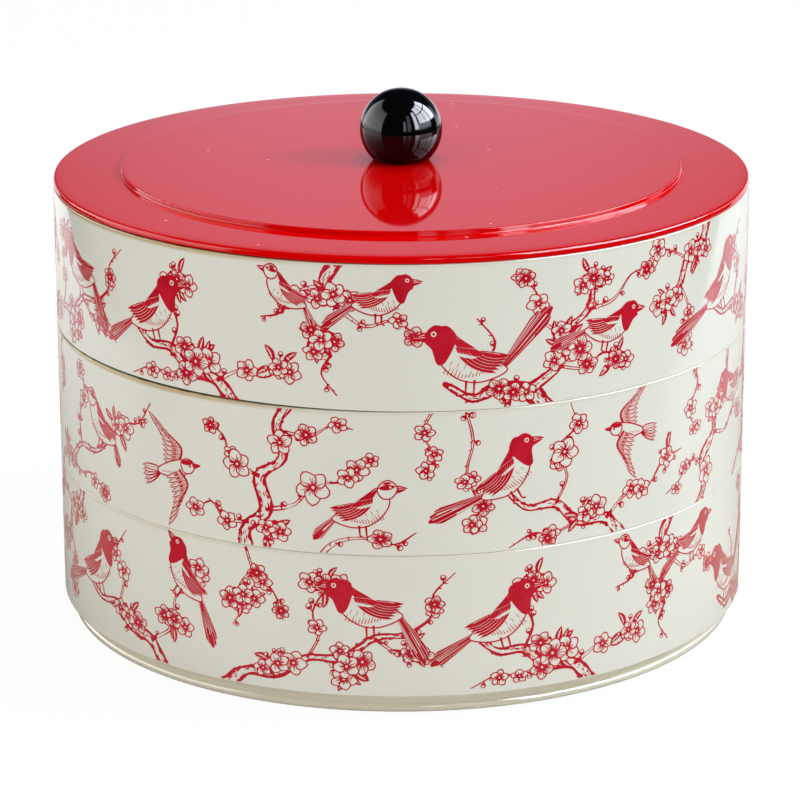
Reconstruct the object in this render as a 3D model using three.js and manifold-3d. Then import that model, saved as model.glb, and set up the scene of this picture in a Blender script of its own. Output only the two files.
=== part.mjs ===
// A round sweetmeat box of three stacked trays with loose dividers, a drop-on lid and a ball knob.
// Millimetres, +Z up, origin at the centre of the bottom tray's foot.

import * as THREE from "three";
import { mergeVertices } from "three/addons/utils/BufferGeometryUtils.js";
import Module from "manifold-3d";

// Driving dimensions of the whole box
const WALL_RADIUS = 118;
const WALL_THICKNESS = 2.4;
const TIER_PITCH = 47.9;
const TIERS = ["bottom", "middle", "top"];
const EDGE_ROUND = 0.5;

// Foot of a tray: a bead on the ground, then a cove up to the underside of the wall
const FOOT_HEIGHT = 6.8;
const FOOT_INNER_RADIUS = 111;
const BEAD_RADIUS = 1.6;
const BEAD_REACH = 115;
const BEAD_END_DEGREES = 62;
const COVE_RADIUS = 3;
const COVE_TOP_RADIUS = 116.9;

// Inside of a tray
const FLOOR_UNDERSIDE = 2;
const FLOOR_TOP = 4.4;
const FLOOR_FILLET = 7;
const INNER_RADIUS = WALL_RADIUS - WALL_THICKNESS;
const RIM_HEIGHT = TIER_PITCH + FOOT_HEIGHT;
const RIM_ROUND = 0.6;
const RIM_BEVEL_DEPTH = 3;

// Divider: a hexagonal cell in the middle and six walls out to the tray
const DIVIDER_HEIGHT = 41.2;
const DIVIDER_THICKNESS = 1.6;
const DIVIDER_CELL_APOTHEM = 33;
const DIVIDER_SIDES = 6;
const DIVIDER_REACH = INNER_RADIUS - 0.6;
const DIVIDER_FOOT_BEVEL = 7;

// Lid: a flange on the top tray's rim, a skirt inside it, and a raised disc.
// Flange and disc are each crowned a little, and the disc is flat under the knob.
const LID_SEAT = TIER_PITCH * (TIERS.length - 1) + RIM_HEIGHT;
const FLANGE_THICKNESS = 2.3;
const FLANGE_ROUND = 0.8;
const DISC_RADIUS = 95;
const DISC_RISE = 1.7;
const FLANGE_CROWN = 2;
const DISC_CROWN = 0.7;
const KNOB_SEAT_RADIUS = 11;
const LID_THICKNESS = 2.2;
const SKIRT_CLEARANCE = 0.4;
const SKIRT_THICKNESS = 2.4;
const SKIRT_DEPTH = 5.5;
const FLANGE_TOP = LID_SEAT + FLANGE_THICKNESS;
const DISC_TOP = discHeight(0);
const DISC_UNDERSIDE = DISC_TOP - LID_THICKNESS;

// Knob and what holds it, an M4 screw from below
const KNOB_RADIUS = 14;
const KNOB_CENTRE_RISE = 10.5;
const INSERT_RADIUS = 3.2;
const INSERT_LENGTH = 10;
const INSERT_INSET = 0.4;
const INSERT_BAND = 4;
const INSERT_WAIST = 0.3;
const INSERT_SEAT_CLEARANCE = 0.05;
const INSERT_HOLE_DEPTH = 12;
const SCREW_RADIUS = 2;
const SCREW_LENGTH = 12;
const SCREW_HEAD_RADIUS = 4;
const SCREW_HEAD_HEIGHT = 2.2;
const SCREW_HEAD_ROUND = 1;
const SCREW_RUNNING_CLEARANCE = 0.05;
const SCREW_HOLE_RADIUS = 2.3;
const CROSS_WIDTH = 0.9;
const CROSS_SPAN = 4.4;
const CROSS_DEPTH = 1.5;
const WASHER_RADIUS = 6;
const WASHER_THICKNESS = 1;

// Steps round a turned shape
const BODY_STEPS = 64;
const KNOB_STEPS = 32;
const FASTENER_STEPS = 24;

// Corners of a mesh nearer than this are one corner
const MERGE_DISTANCE = 1e-4;

const CREAM = new THREE.MeshStandardMaterial({ color: 0xd9d6c8, roughness: 0.18, metalness: 0 });
const IVORY = new THREE.MeshStandardMaterial({ color: 0xe2ddca, roughness: 0.35, metalness: 0 });
const RED = new THREE.MeshStandardMaterial({ color: 0xb80812, roughness: 0.12, metalness: 0 });
const BLACK = new THREE.MeshStandardMaterial({ color: 0x0a0a0b, roughness: 0.08, metalness: 0 });
const BRASS = new THREE.MeshStandardMaterial({ color: 0xb8954a, roughness: 0.35, metalness: 1 });
const STEEL = new THREE.MeshStandardMaterial({ color: 0xb4b6b8, roughness: 0.3, metalness: 1 });

const wasm = await Module();
wasm.setup();

const point = (radius, height) => new THREE.Vector2(radius, height);

// Points along an arc in the plane of a profile, angles in degrees from the outward direction.
function arc(centreRadius, centreHeight, radius, fromDegrees, toDegrees, steps) {
  const points = [];
  for (let i = 0; i <= steps; i += 1) {
    const angle = THREE.MathUtils.degToRad(fromDegrees + ((toDegrees - fromDegrees) * i) / steps);
    const out = centreRadius + radius * Math.cos(angle);
    const up = centreHeight + radius * Math.sin(angle);
    points.push(point(out, up));
  }
  return points;
}

// Height of the flange's top at a radius. Its crown runs on to the axis, under the disc.
function flangeHeight(radius) {
  const share = radius / WALL_RADIUS;
  return FLANGE_TOP + FLANGE_CROWN * (1 - share * share);
}

// Height of the raised disc's top at a radius.
function discHeight(radius) {
  const share = Math.max(radius, KNOB_SEAT_RADIUS) / DISC_RADIUS;
  return flangeHeight(DISC_RADIUS) + DISC_RISE + DISC_CROWN * (1 - share * share);
}

// Points along the flange or the disc from one radius to another, moved up by an offset.
function crownPoints(heightAt, fromRadius, toRadius, offset, steps) {
  const points = [];
  for (let i = 0; i <= steps; i += 1) {
    const radius = fromRadius + ((toRadius - fromRadius) * i) / steps;
    points.push(point(radius, heightAt(radius) + offset));
  }
  return points;
}

// A profile of (radius, height) points turned about the +Z axis.
function turned(profile, steps) {
  return new THREE.LatheGeometry(profile, steps).rotateX(Math.PI / 2);
}

function toSolid(geometry) {
  const bare = geometry.clone();
  bare.deleteAttribute("normal");
  bare.deleteAttribute("uv");
  const merged = mergeVertices(bare, MERGE_DISTANCE);
  const mesh = new wasm.Mesh({
    numProp: 3,
    vertProperties: merged.attributes.position.array,
    triVerts: new Uint32Array(merged.index.array),
  });
  return new wasm.Manifold(mesh);
}

function toGeometry(solid) {
  const mesh = solid.getMesh();
  const geometry = new THREE.BufferGeometry();
  geometry.setAttribute("position", new THREE.BufferAttribute(mesh.vertProperties, 3));
  geometry.setIndex(new THREE.BufferAttribute(mesh.triVerts, 1));
  geometry.computeVertexNormals();
  return geometry;
}

function namedMesh(name, geometry, material, height = 0) {
  const mesh = new THREE.Mesh(geometry, material);
  mesh.name = name;
  mesh.position.z = height;
  return mesh;
}

// The tray, with its foot on z = 0. The foot nests inside the rim of the tray below.
function trayGeometry() {
  const beadCentre = BEAD_REACH - BEAD_RADIUS;
  const coveBottom = FOOT_HEIGHT - COVE_RADIUS;
  const foot = [
    point(0, FLOOR_UNDERSIDE),
    point(FOOT_INNER_RADIUS - EDGE_ROUND, FLOOR_UNDERSIDE),
    point(FOOT_INNER_RADIUS, 0),
    ...arc(beadCentre, BEAD_RADIUS, BEAD_RADIUS, -90, BEAD_END_DEGREES, 5),
    ...arc(COVE_TOP_RADIUS, coveBottom, COVE_RADIUS, 180, 90, 4),
  ];
  const wall = [
    point(WALL_RADIUS - EDGE_ROUND, FOOT_HEIGHT),
    point(WALL_RADIUS, FOOT_HEIGHT + EDGE_ROUND),
    ...arc(WALL_RADIUS - RIM_ROUND, RIM_HEIGHT - RIM_ROUND, RIM_ROUND, 0, 90, 2),
    point(COVE_TOP_RADIUS, RIM_HEIGHT),
    point(INNER_RADIUS, RIM_HEIGHT - RIM_BEVEL_DEPTH),
  ];
  const inside = [
    ...arc(INNER_RADIUS - FLOOR_FILLET, FLOOR_TOP + FLOOR_FILLET, FLOOR_FILLET, 0, -90, 3),
    point(0, FLOOR_TOP),
  ];
  return turned([...foot, ...wall, ...inside], BODY_STEPS);
}

// Plan of the divider: out and back along each radial wall, round a hexagon with an open cell.
function dividerPlan() {
  const half = DIVIDER_THICKNESS / 2;
  const turn = (2 * Math.PI) / DIVIDER_SIDES;
  const outerApothem = DIVIDER_CELL_APOTHEM + half;
  const rootRadius = (outerApothem - half * Math.sin(turn / 2)) / Math.cos(turn / 2);
  const outline = [];
  const cell = [];
  const centre = new THREE.Vector2();
  for (let i = 0; i < DIVIDER_SIDES; i += 1) {
    const corners = [
      [rootRadius, -half],
      [DIVIDER_REACH, -half],
      [DIVIDER_REACH, half],
      [rootRadius, half],
    ];
    for (const [along, across] of corners) {
      outline.push(new THREE.Vector2(along, across).rotateAround(centre, i * turn));
    }
    const innerCorner = (DIVIDER_CELL_APOTHEM - half) / Math.cos(turn / 2);
    cell.push(new THREE.Vector2(innerCorner, 0).rotateAround(centre, i * turn));
  }
  const plan = new THREE.Shape(outline);
  plan.holes.push(new THREE.Path(cell.reverse()));
  return plan;
}

// The divider, standing on z = 0, its outer lower corners bevelled to clear the tray's fillet.
function dividerGeometry() {
  const walls = new THREE.ExtrudeGeometry(dividerPlan(), {
    depth: DIVIDER_HEIGHT,
    bevelEnabled: false,
  });
  const bevelStart = DIVIDER_REACH - DIVIDER_FOOT_BEVEL;
  const outsideBevel = [
    point(bevelStart, -DIVIDER_FOOT_BEVEL),
    point(WALL_RADIUS, -DIVIDER_FOOT_BEVEL),
    point(WALL_RADIUS, WALL_RADIUS - bevelStart),
    point(bevelStart, 0),
    point(bevelStart, -DIVIDER_FOOT_BEVEL),
  ];
  return toGeometry(toSolid(walls).subtract(toSolid(turned(outsideBevel, BODY_STEPS))));
}

function lidGeometry() {
  const skirtOuter = INNER_RADIUS - SKIRT_CLEARANCE;
  const skirtInner = skirtOuter - SKIRT_THICKNESS;
  const skirtFoot = LID_SEAT - SKIRT_DEPTH;
  const discInner = DISC_RADIUS - LID_THICKNESS;
  const underside = [
    point(SCREW_HOLE_RADIUS, DISC_UNDERSIDE),
    ...crownPoints(discHeight, KNOB_SEAT_RADIUS, discInner - EDGE_ROUND, -LID_THICKNESS, 5),
    ...crownPoints(flangeHeight, discInner, skirtInner, -LID_THICKNESS, 2),
  ];
  const skirt = [
    point(skirtInner, skirtFoot + EDGE_ROUND),
    point(skirtInner + EDGE_ROUND, skirtFoot),
    point(skirtOuter - EDGE_ROUND, skirtFoot),
    point(skirtOuter, skirtFoot + EDGE_ROUND),
    point(skirtOuter, LID_SEAT),
  ];
  const flange = [
    point(WALL_RADIUS - EDGE_ROUND, LID_SEAT),
    point(WALL_RADIUS, LID_SEAT + EDGE_ROUND),
    ...arc(WALL_RADIUS - FLANGE_ROUND, FLANGE_TOP - FLANGE_ROUND, FLANGE_ROUND, 0, 90, 3),
    ...crownPoints(flangeHeight, WALL_RADIUS - 4 * FLANGE_ROUND, DISC_RADIUS + EDGE_ROUND, 0, 2),
  ];
  const disc = [
    point(DISC_RADIUS, flangeHeight(DISC_RADIUS) + EDGE_ROUND),
    point(DISC_RADIUS, discHeight(DISC_RADIUS) - EDGE_ROUND),
    ...crownPoints(discHeight, DISC_RADIUS - EDGE_ROUND, KNOB_SEAT_RADIUS, 0, 6),
    point(SCREW_HOLE_RADIUS, DISC_TOP),
  ];
  return turned([...underside, ...skirt, ...flange, ...disc, underside[0]], BODY_STEPS);
}

// The knob: a ball cut flat below its centre, with a blind hole for the insert.
function knobGeometry() {
  const centre = DISC_TOP + KNOB_CENTRE_RISE;
  const holeRadius = INSERT_RADIUS + INSERT_SEAT_CLEARANCE;
  const baseAngle = -THREE.MathUtils.radToDeg(Math.asin(KNOB_CENTRE_RISE / KNOB_RADIUS));
  const profile = [
    point(0, DISC_TOP + INSERT_HOLE_DEPTH),
    point(holeRadius, DISC_TOP + INSERT_HOLE_DEPTH),
    point(holeRadius, DISC_TOP),
    ...arc(0, centre, KNOB_RADIUS, baseAngle, 90, 14),
  ];
  return turned(profile, KNOB_STEPS);
}

function insertGeometry() {
  const bore = SCREW_RADIUS + SCREW_RUNNING_CLEARANCE;
  const low = DISC_TOP + INSERT_INSET;
  const high = low + INSERT_LENGTH;
  const profile = [
    point(bore, low),
    point(INSERT_RADIUS, low),
    point(INSERT_RADIUS, low + INSERT_BAND),
    point(INSERT_RADIUS - INSERT_WAIST, low + INSERT_BAND),
    point(INSERT_RADIUS - INSERT_WAIST, high - INSERT_BAND),
    point(INSERT_RADIUS, high - INSERT_BAND),
    point(INSERT_RADIUS, high),
    point(bore, high),
    point(bore, low),
  ];
  return turned(profile, FASTENER_STEPS);
}

function screwGeometry() {
  const headTop = DISC_UNDERSIDE - WASHER_THICKNESS;
  const headFoot = headTop - SCREW_HEAD_HEIGHT;
  const tip = headTop + SCREW_LENGTH;
  const roundRadius = SCREW_HEAD_RADIUS - SCREW_HEAD_ROUND;
  const profile = [
    point(0, headFoot),
    ...arc(roundRadius, headFoot + SCREW_HEAD_ROUND, SCREW_HEAD_ROUND, -90, 0, 3),
    point(SCREW_HEAD_RADIUS, headTop),
    point(SCREW_RADIUS, headTop),
    point(SCREW_RADIUS, tip - EDGE_ROUND),
    point(SCREW_RADIUS - EDGE_ROUND, tip),
    point(0, tip),
  ];
  const slot = new THREE.BoxGeometry(CROSS_SPAN, CROSS_WIDTH, 2 * CROSS_DEPTH);
  slot.translate(0, 0, headFoot);
  const crossSlot = slot.clone().rotateZ(Math.PI / 2);
  const blank = toSolid(turned(profile, FASTENER_STEPS));
  return toGeometry(blank.subtract(toSolid(slot)).subtract(toSolid(crossSlot)));
}

function washerGeometry() {
  const low = DISC_UNDERSIDE - WASHER_THICKNESS;
  const profile = [
    point(SCREW_HOLE_RADIUS, low),
    point(WASHER_RADIUS, low),
    point(WASHER_RADIUS, DISC_UNDERSIDE),
    point(SCREW_HOLE_RADIUS, DISC_UNDERSIDE),
    point(SCREW_HOLE_RADIUS, low),
  ];
  return turned(profile, FASTENER_STEPS);
}

const group = new THREE.Group();

TIERS.forEach((tier, index) => {
  const base = index * TIER_PITCH;
  group.add(namedMesh(`tray_${tier}`, trayGeometry(), CREAM, base));
  group.add(namedMesh(`divider_${tier}`, dividerGeometry(), IVORY, base + FLOOR_TOP));
});

const lid = new THREE.Group();
lid.add(namedMesh("lid_shell", lidGeometry(), RED));
lid.add(namedMesh("lid_knob", knobGeometry(), BLACK));
lid.add(namedMesh("knob_insert", insertGeometry(), BRASS));
lid.add(namedMesh("knob_screw", screwGeometry(), STEEL));
lid.add(namedMesh("knob_washer", washerGeometry(), STEEL));
group.add(lid);

export default group;
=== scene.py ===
import cmath
import math
import random

import bmesh
import bpy
from bpy.props import FloatProperty, FloatVectorProperty, IntProperty, PointerProperty
from mathutils import Matrix, Vector
from mathutils.geometry import delaunay_2d_cdt


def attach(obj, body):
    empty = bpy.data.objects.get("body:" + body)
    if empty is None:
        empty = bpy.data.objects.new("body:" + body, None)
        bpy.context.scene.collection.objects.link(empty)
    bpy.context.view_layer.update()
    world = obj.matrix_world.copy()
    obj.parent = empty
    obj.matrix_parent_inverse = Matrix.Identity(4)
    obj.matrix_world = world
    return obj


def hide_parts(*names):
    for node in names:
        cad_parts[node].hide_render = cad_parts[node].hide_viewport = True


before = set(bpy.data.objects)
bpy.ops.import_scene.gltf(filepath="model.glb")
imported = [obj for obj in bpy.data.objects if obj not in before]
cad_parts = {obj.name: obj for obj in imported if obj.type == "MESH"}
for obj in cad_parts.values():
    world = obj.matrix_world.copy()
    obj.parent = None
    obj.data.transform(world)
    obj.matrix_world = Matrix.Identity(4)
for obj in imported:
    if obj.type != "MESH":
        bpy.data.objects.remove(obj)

bl_info = {
    "name": "Sweetmeat Box",
    "version": (1, 0, 0),
    "blender": (4, 5, 0),
    "location": "View3D > Sidebar > Sweetmeat Box",
    "description": "Builds a round three-tier sweetmeat box with a printed wall, a red lid and a ball knob",
    "category": "Add Mesh",
}

TIERS = ("bottom", "middle", "top")
LID = len(TIERS)
MM = 0.001
WELD = 1e-6
FILM_WELD = 2e-7  # finer than the film is high
CREASE = math.radians(28)  # edges sharper than this stay crisp
KNOB_SEGMENTS = 128
SIXTH = math.pi / 3
ARMS = [cmath.rect(1, SIXTH * k) for k in range(6)]  # the dividers' radial walls, as directions


def number(name, default, description, **more):
    """A plain number property."""
    return FloatProperty(name=name, description=description, default=default, **more)


def length(name, default, description):
    """A length property in metres."""
    return number(name, default, description, min=0.0, precision=5, unit="LENGTH", subtype="DISTANCE")


def angle(name, default, description):
    """An angle property in radians."""
    return number(name, default, description, unit="ROTATION", subtype="ANGLE")


def colour(name, default, description):
    """A linear colour property."""
    return FloatVectorProperty(name=name, description=description, default=default, size=3,
                               min=0.0, max=1.0, subtype="COLOR")


class TraySettings(bpy.types.PropertyGroup):
    """Sizes and colour of the three nesting trays."""

    wall_radius: length("Wall radius", 0.118, "Outside radius of a tray's wall")
    wall_thickness: length("Wall thickness", 0.0024, "Thickness of a tray's wall")
    tier_pitch: length("Tier pitch", 0.0479, "Height from one tray's foot to the next one's")
    foot_height: length("Foot height", 0.0068, "Height of the bead and cove under the wall")
    floor_top: length("Floor height", 0.0044, "Height of the tray's inside floor above its foot")
    floor_fillet: length("Floor fillet", 0.007, "Radius between the floor and the wall inside")
    seam: length("Seam", 0.00009, "Gap that shows under the outer edge of a tray or the lid")
    loose: length("Loose side", 0.00075, "How much wider the top tray's seam is at the front left")
    segments: IntProperty(name="Segments", description="Facets round a tray", default=320, min=32)
    cream: colour("Cream", (0.75, 0.728, 0.63), "Colour of the tray")


class DividerSettings(bpy.types.PropertyGroup):
    """Sizes and colour of the loose dividers."""

    height: length("Height", 0.0412, "Height of the divider's walls")
    thickness: length("Thickness", 0.0016, "Thickness of the divider's walls")
    cell_apothem: length("Cell apothem", 0.033, "Distance from the axis to a side of the middle cell")
    reach: length("Reach", 0.115, "Distance from the axis to the end of a radial wall")
    foot_bevel: length("Foot bevel", 0.007, "Bevel that clears the tray's fillet")
    edge_round: length("Edge round", 0.0004, "Radius of the walls' edges")
    ivory: colour("Ivory", (0.75, 0.72, 0.61), "Colour of the dividers")


class LidSettings(bpy.types.PropertyGroup):
    """Sizes and colour of the lid."""

    flange_thickness: length("Flange thickness", 0.0023, "Height of the lid's edge")
    disc_radius: length("Disc radius", 0.095, "Radius of the raised disc")
    disc_rise: length("Disc rise", 0.0017, "Height of the disc over the flange")
    flange_crown: length("Flange crown", 0.002, "Rise of the flange's top from the wall to the axis")
    disc_crown: length("Disc crown", 0.0007, "Rise of the disc's top from its edge to its middle")
    thickness: length("Thickness", 0.0022, "Thickness of the lid")
    skirt_depth: length("Skirt depth", 0.0055, "Depth of the skirt inside the top tray")
    red: colour("Red", (0.62, 0.0006, 0.0012), "Colour of the lid")


class KnobSettings(bpy.types.PropertyGroup):
    """Sizes and colour of the ball knob."""

    radius: length("Radius", 0.014, "Radius of the ball")
    centre_rise: length("Centre rise", 0.0105, "Height of the ball's centre over the lid")
    seat_radius: length("Seat radius", 0.011, "Flat middle of the lid under the knob")
    insert_radius: length("Insert radius", 0.00325, "Radius of the hole for the insert")
    insert_depth: length("Insert depth", 0.012, "Depth of the hole for the insert")
    black: colour("Black", (0.0015, 0.0015, 0.0018), "Colour of the knob")


class PrintSettings(bpy.types.PropertyGroup):
    """The crimson print round the trays."""

    film: length("Film height", 0.00004, "How far the print stands off the wall")
    repeats: IntProperty(name="Repeats", description="Times the drawing goes round the box", default=2, min=1)
    turn: angle("Turn", math.radians(58), "Turn of the bottom tray's print against the top one's")
    crimson: colour("Crimson", (0.58, 0.0012, 0.014), "Colour of the print")


class StageSettings(bpy.types.PropertyGroup):
    """Camera, light and background."""

    camera_distance: length("Camera distance", 1.267, "From the camera to the point it looks at")
    camera_elevation: angle("Camera elevation", math.radians(17.30), "Angle above the horizon")
    camera_roll: angle("Camera roll", 0.002, "Turn about the line of sight")
    aim_height: length("Aim height", 0.0700, "Height of the point the camera looks at")
    lens: number("Lens", 164.3, "Focal length in millimetres")
    key_power: number("Window power", 19.0, "Power of the window light", unit="POWER")
    top_power: number("Ceiling power", 12.0, "Power of the light above", unit="POWER")
    window_glow: number("Window glow", 26.0, "Brightness of the window in gloss")
    ambient: number("Ambient", 0.62, "Strength of the sky for matt surfaces")


# ---- Nodes


def maths(operation, reflected=False):
    """A method of Signal that gives a Math node's result."""
    def method(self, other=0.0):
        first, second = (other, self) if reflected else (self, other)
        return self.tree.node("ShaderNodeMath", {"operation": operation}, {0: first, 1: second})
    return method


class Signal:
    """A node's output, with Python's arithmetic on numbers."""

    def __init__(self, tree, socket):
        self.tree, self.socket = tree, socket

    __add__ = __radd__ = maths("ADD")
    __sub__, __rsub__ = maths("SUBTRACT"), maths("SUBTRACT", reflected=True)
    __mul__ = __rmul__ = maths("MULTIPLY")
    __truediv__ = maths("DIVIDE")
    __mod__ = maths("FLOORED_MODULO")
    __pow__ = maths("POWER")
    __gt__ = maths("GREATER_THAN")
    __abs__ = maths("ABSOLUTE")
    floor, sine, cosine = maths("FLOOR"), maths("SINE"), maths("COSINE")
    arctan2, arcsine = maths("ARCTAN2"), maths("ARCSINE")

    def output(self, name):
        """Another output of the same node."""
        return Signal(self.tree, self.socket.node.outputs[name])

    def ramp(self, low, high):
        """0 below low, 1 above high, and smooth between them."""
        return self.tree.node("ShaderNodeMapRange", {"interpolation_type": "SMOOTHSTEP"},
                              {"Value": self, "From Min": low, "From Max": high})

    def band(self, low, high, soft):
        """1 between low and high, 0 outside, with soft ends."""
        return self.ramp(low - soft, low + soft) * (1 - self.ramp(high - soft, high + soft))


class Tree:
    """A node tree, and the one way to add a node to it."""

    def __init__(self, tree):
        self.tree = tree

    def feed(self, node, sockets):
        """Links a node's inputs, or sets their values."""
        for name, value in sockets.items():
            if isinstance(value, Signal):
                self.tree.links.new(value.socket, node.inputs[name])
            else:
                node.inputs[name].default_value = value

    def node(self, kind, settings=None, sockets=None, output=0):
        """Adds a node. Its settings come first, then its inputs."""
        made = self.tree.nodes.new(kind)
        for name, value in (settings or {}).items():
            setattr(made, name, value)
        self.feed(made, sockets or {})
        return Signal(self, made.outputs[output]) if made.outputs else made

    def axis(self, vector, name="X"):
        """One coordinate of a vector."""
        return self.node("ShaderNodeSeparateXYZ", None, {0: vector}, output=name)

    def mixed(self, factor, first, second):
        """One colour fading to another."""
        def full(tone):
            return tone if isinstance(tone, Signal) else (*tone, 1.0)
        return self.node("ShaderNodeMix", {"data_type": "RGBA"},
                         {0: factor, 6: full(first), 7: full(second)}, output=2)

    def noise(self, place, scale, detail=2.0, roughness=0.5):
        """Noise from 0 to 1."""
        return self.node("ShaderNodeTexNoise", None,
                         {"Vector": place, "Scale": scale, "Detail": detail, "Roughness": roughness})


class Finish(Tree):
    """A material with a Principled shader, whose inputs are named with underscores."""

    def __init__(self, name, **inputs):
        self.material = bpy.data.materials.new(name)
        self.material.use_nodes = True
        super().__init__(self.material.node_tree)
        self.place = self.node("ShaderNodeTexCoord", output="Object")
        self.dress(**inputs)

    def dress(self, **inputs):
        """Sets or links the shader's inputs, and gives the material."""
        self.feed(self.tree.nodes["Principled BSDF"], {name.replace("_", " "): inputs[name] for name in inputs})
        return self.material

    def bump(self, height, distance, strength):
        """A normal for surface relief too fine for the mesh."""
        return self.node("ShaderNodeBump", None, {"Strength": strength, "Distance": distance, "Height": height})


class Group(Tree):
    """A geometry node group with named inputs, which gives one real mesh."""

    def __init__(self, name, result, **inputs):
        super().__init__(bpy.data.node_groups.new(name, "GeometryNodeTree"))
        self.result = result
        for socket, kind in inputs.items():
            self.tree.interface.new_socket(socket.replace("_", " "), in_out="INPUT",
                                           socket_type="NodeSocket" + kind)
        self.tree.interface.new_socket(result, in_out="OUTPUT", socket_type="NodeSocketGeometry")

    def close(self, shape, material):
        """Makes the shape real, gives it its material and sends it out."""
        real = self.node("GeometryNodeRealizeInstances", None, {"Geometry": shape})
        done = self.node("GeometryNodeSetMaterial", None, {"Geometry": real, "Material": material})
        self.node("NodeGroupOutput", None, {self.result: done})
        return self.tree


# ---- Finishes


def shade(tone, *factors):
    """A colour times one factor, or times one for each channel."""
    return tuple(min(1.0, c * factor) for c, factor in zip(tone, factors * 3))


def from_axis(across, depth):
    """Distance from the box's axis."""
    return (across * across + depth * depth) ** 0.5


def cream_finish(settings):
    """Glossy cream plastic, more golden on the rims, coves and feet, partly as bare plastic and partly as
    painted warm shade, with painted seam shade under the rims.
    """
    finish = Finish("cream_gloss", Coat_IOR=1.5, Coat_Roughness=0.03, IOR=1.46)
    cream, wall, pitch = settings.cream, settings.wall_radius, settings.tier_pitch
    height = finish.axis(finish.place, "Z")
    across, depth = height.output("X"), height.output("Y")
    cloud = finish.noise(finish.place, 14.0, 3.0)
    tone = finish.mixed(cloud, shade(cream, 0.975), shade(cream, 1.02))
    radius = from_axis(across, depth)
    # The coves, feet and rims are more golden: partly the bare plastic's own tone, partly painted warm shade
    # standing in for light bounced in these hollows.
    cove = radius.ramp(wall - 0.0052, wall - 0.0046) * (1 - radius.ramp(wall - 0.0010, wall - 0.0004))
    tone = finish.mixed(cove * 0.6, tone, shade(cream, 0.93, 0.86, 0.70))
    # Painted seam shade: dark golden brown on the top of each wall just under the next seam, strongest at the
    # front left and on the upper seams.
    under_rim = ((height - settings.foot_height) % pitch).ramp(pitch - 0.0019, pitch)
    front_left = (across * -0.84 - depth * 0.54).ramp(0.080, 0.112)
    painted_seam_shade = under_rim * (0.16 + 0.78 * front_left) * (0.35 + 0.65 * height.ramp(0.06, 0.09))
    tone = finish.mixed(painted_seam_shade, tone, shade(cream, 0.6, 0.4, 0.1))
    fine = finish.noise(finish.place, 900.0)
    peel = finish.noise(finish.place, 210.0, 2.0, 0.4)
    return finish.dress(Base_Color=tone, Roughness=0.10 + 0.05 * cloud + 0.03 * fine,
                        Coat_Weight=0.82 + 0.16 * cloud, Normal=finish.bump(peel, 0.00003, 0.35))


def red_finish(settings):
    """Glossy red plastic with faint waves, dust specks and hairline marks."""
    finish = Finish("red_gloss", IOR=1.43)
    cloud = finish.noise(finish.place, 11.0, 3.0)
    tone = finish.mixed(cloud, shade(settings.red, 0.95), shade(settings.red, 1.04))
    cells = finish.node("ShaderNodeTexVoronoi", {"voronoi_dimensions": "3D"},
                        {"Vector": finish.place, "Scale": 95.0}, output="Distance")
    keep = finish.node("ShaderNodeSeparateColor", None, {0: cells.output("Color")}, output="Red") > 0.68
    speck = (1 - cells.ramp(0.03, 0.055)) * keep
    dust = (0.85, 0.62, 0.58)
    stretched = finish.node("ShaderNodeMapping", None, {"Vector": finish.place, "Rotation": (0, 0, 0.6),
                                                        "Scale": (6.0, 240.0, 6.0)})
    hairs = finish.noise(stretched, 1.0).ramp(0.69, 0.73)
    wave = finish.noise(finish.place, 26.0, 2.0, 0.4)
    return finish.dress(Base_Color=finish.mixed(speck * 0.85, tone, dust),
                        Roughness=0.035 + 0.02 * cloud + 0.12 * hairs + 0.35 * speck,
                        Normal=finish.bump(wave + 0.06 * speck, 0.00006, 0.5))


def black_finish(settings):
    """Polished black phenolic plastic."""
    finish = Finish("black_gloss", IOR=1.37)
    cloud = finish.noise(finish.place, 160.0, 3.0)
    return finish.dress(Base_Color=finish.mixed(cloud, settings.black, shade(settings.black, 1.6)),
                        Roughness=0.02 + 0.02 * cloud, Normal=finish.bump(cloud, 0.00001, 0.2))


def ivory_finish(settings):
    """Semi-gloss ivory plastic with a fine moulded grain."""
    finish = Finish("ivory_satin", IOR=1.46)
    cloud = finish.noise(finish.place, 30.0, 3.0)
    grain = finish.noise(finish.place, 2600.0)
    tone = finish.mixed(cloud, shade(settings.ivory, 0.96), shade(settings.ivory, 1.03))
    return finish.dress(Base_Color=tone, Roughness=0.27 + 0.10 * grain + 0.05 * cloud,
                        Normal=finish.bump(grain, 0.00002, 0.4))


def crimson_finish(settings):
    """Crimson ink, unevenly laid, under the wall's gloss."""
    finish = Finish("crimson_ink", IOR=1.46, Coat_Roughness=0.03, Coat_IOR=1.62)
    crimson = settings.crimson
    patch = finish.noise(finish.place, 90.0, 3.0)
    streak = finish.noise(finish.place, 1500.0)
    thin = (crimson[0] * 1.08, crimson[1] + 0.008, crimson[2] + 0.018)
    tone = finish.mixed((patch * 0.7 + streak * 0.5).ramp(0.35, 0.95), shade(crimson, 0.78), thin)
    return finish.dress(Base_Color=tone, Roughness=0.11 + 0.06 * patch, Coat_Weight=0.82 + 0.16 * patch)


def metal_finish(name, base, roughness):
    """Turned metal with fine rings round the axis."""
    finish = Finish(name, Metallic=1.0)
    rings = finish.noise(finish.place, 700.0)
    lathe = finish.node("ShaderNodeTexNoise", {"noise_dimensions": "1D"},
                        {"W": finish.axis(finish.place, "Z"), "Scale": 9000.0})
    return finish.dress(Base_Color=finish.mixed(rings, shade(base, 0.86), shade(base, 1.08)),
                        Roughness=roughness + 0.12 * lathe + 0.06 * rings,
                        Normal=finish.bump(lathe, 0.00002, 0.4))


# ---- Shapes


def placed(name, data):
    """A new object in the scene."""
    made = bpy.data.objects.new(name, data)
    bpy.context.collection.objects.link(made)
    return made


def finished(name, work):
    """A mesh from a bmesh, which is freed."""
    mesh = bpy.data.meshes.new(name)
    work.to_mesh(mesh)
    work.free()
    return mesh


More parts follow.
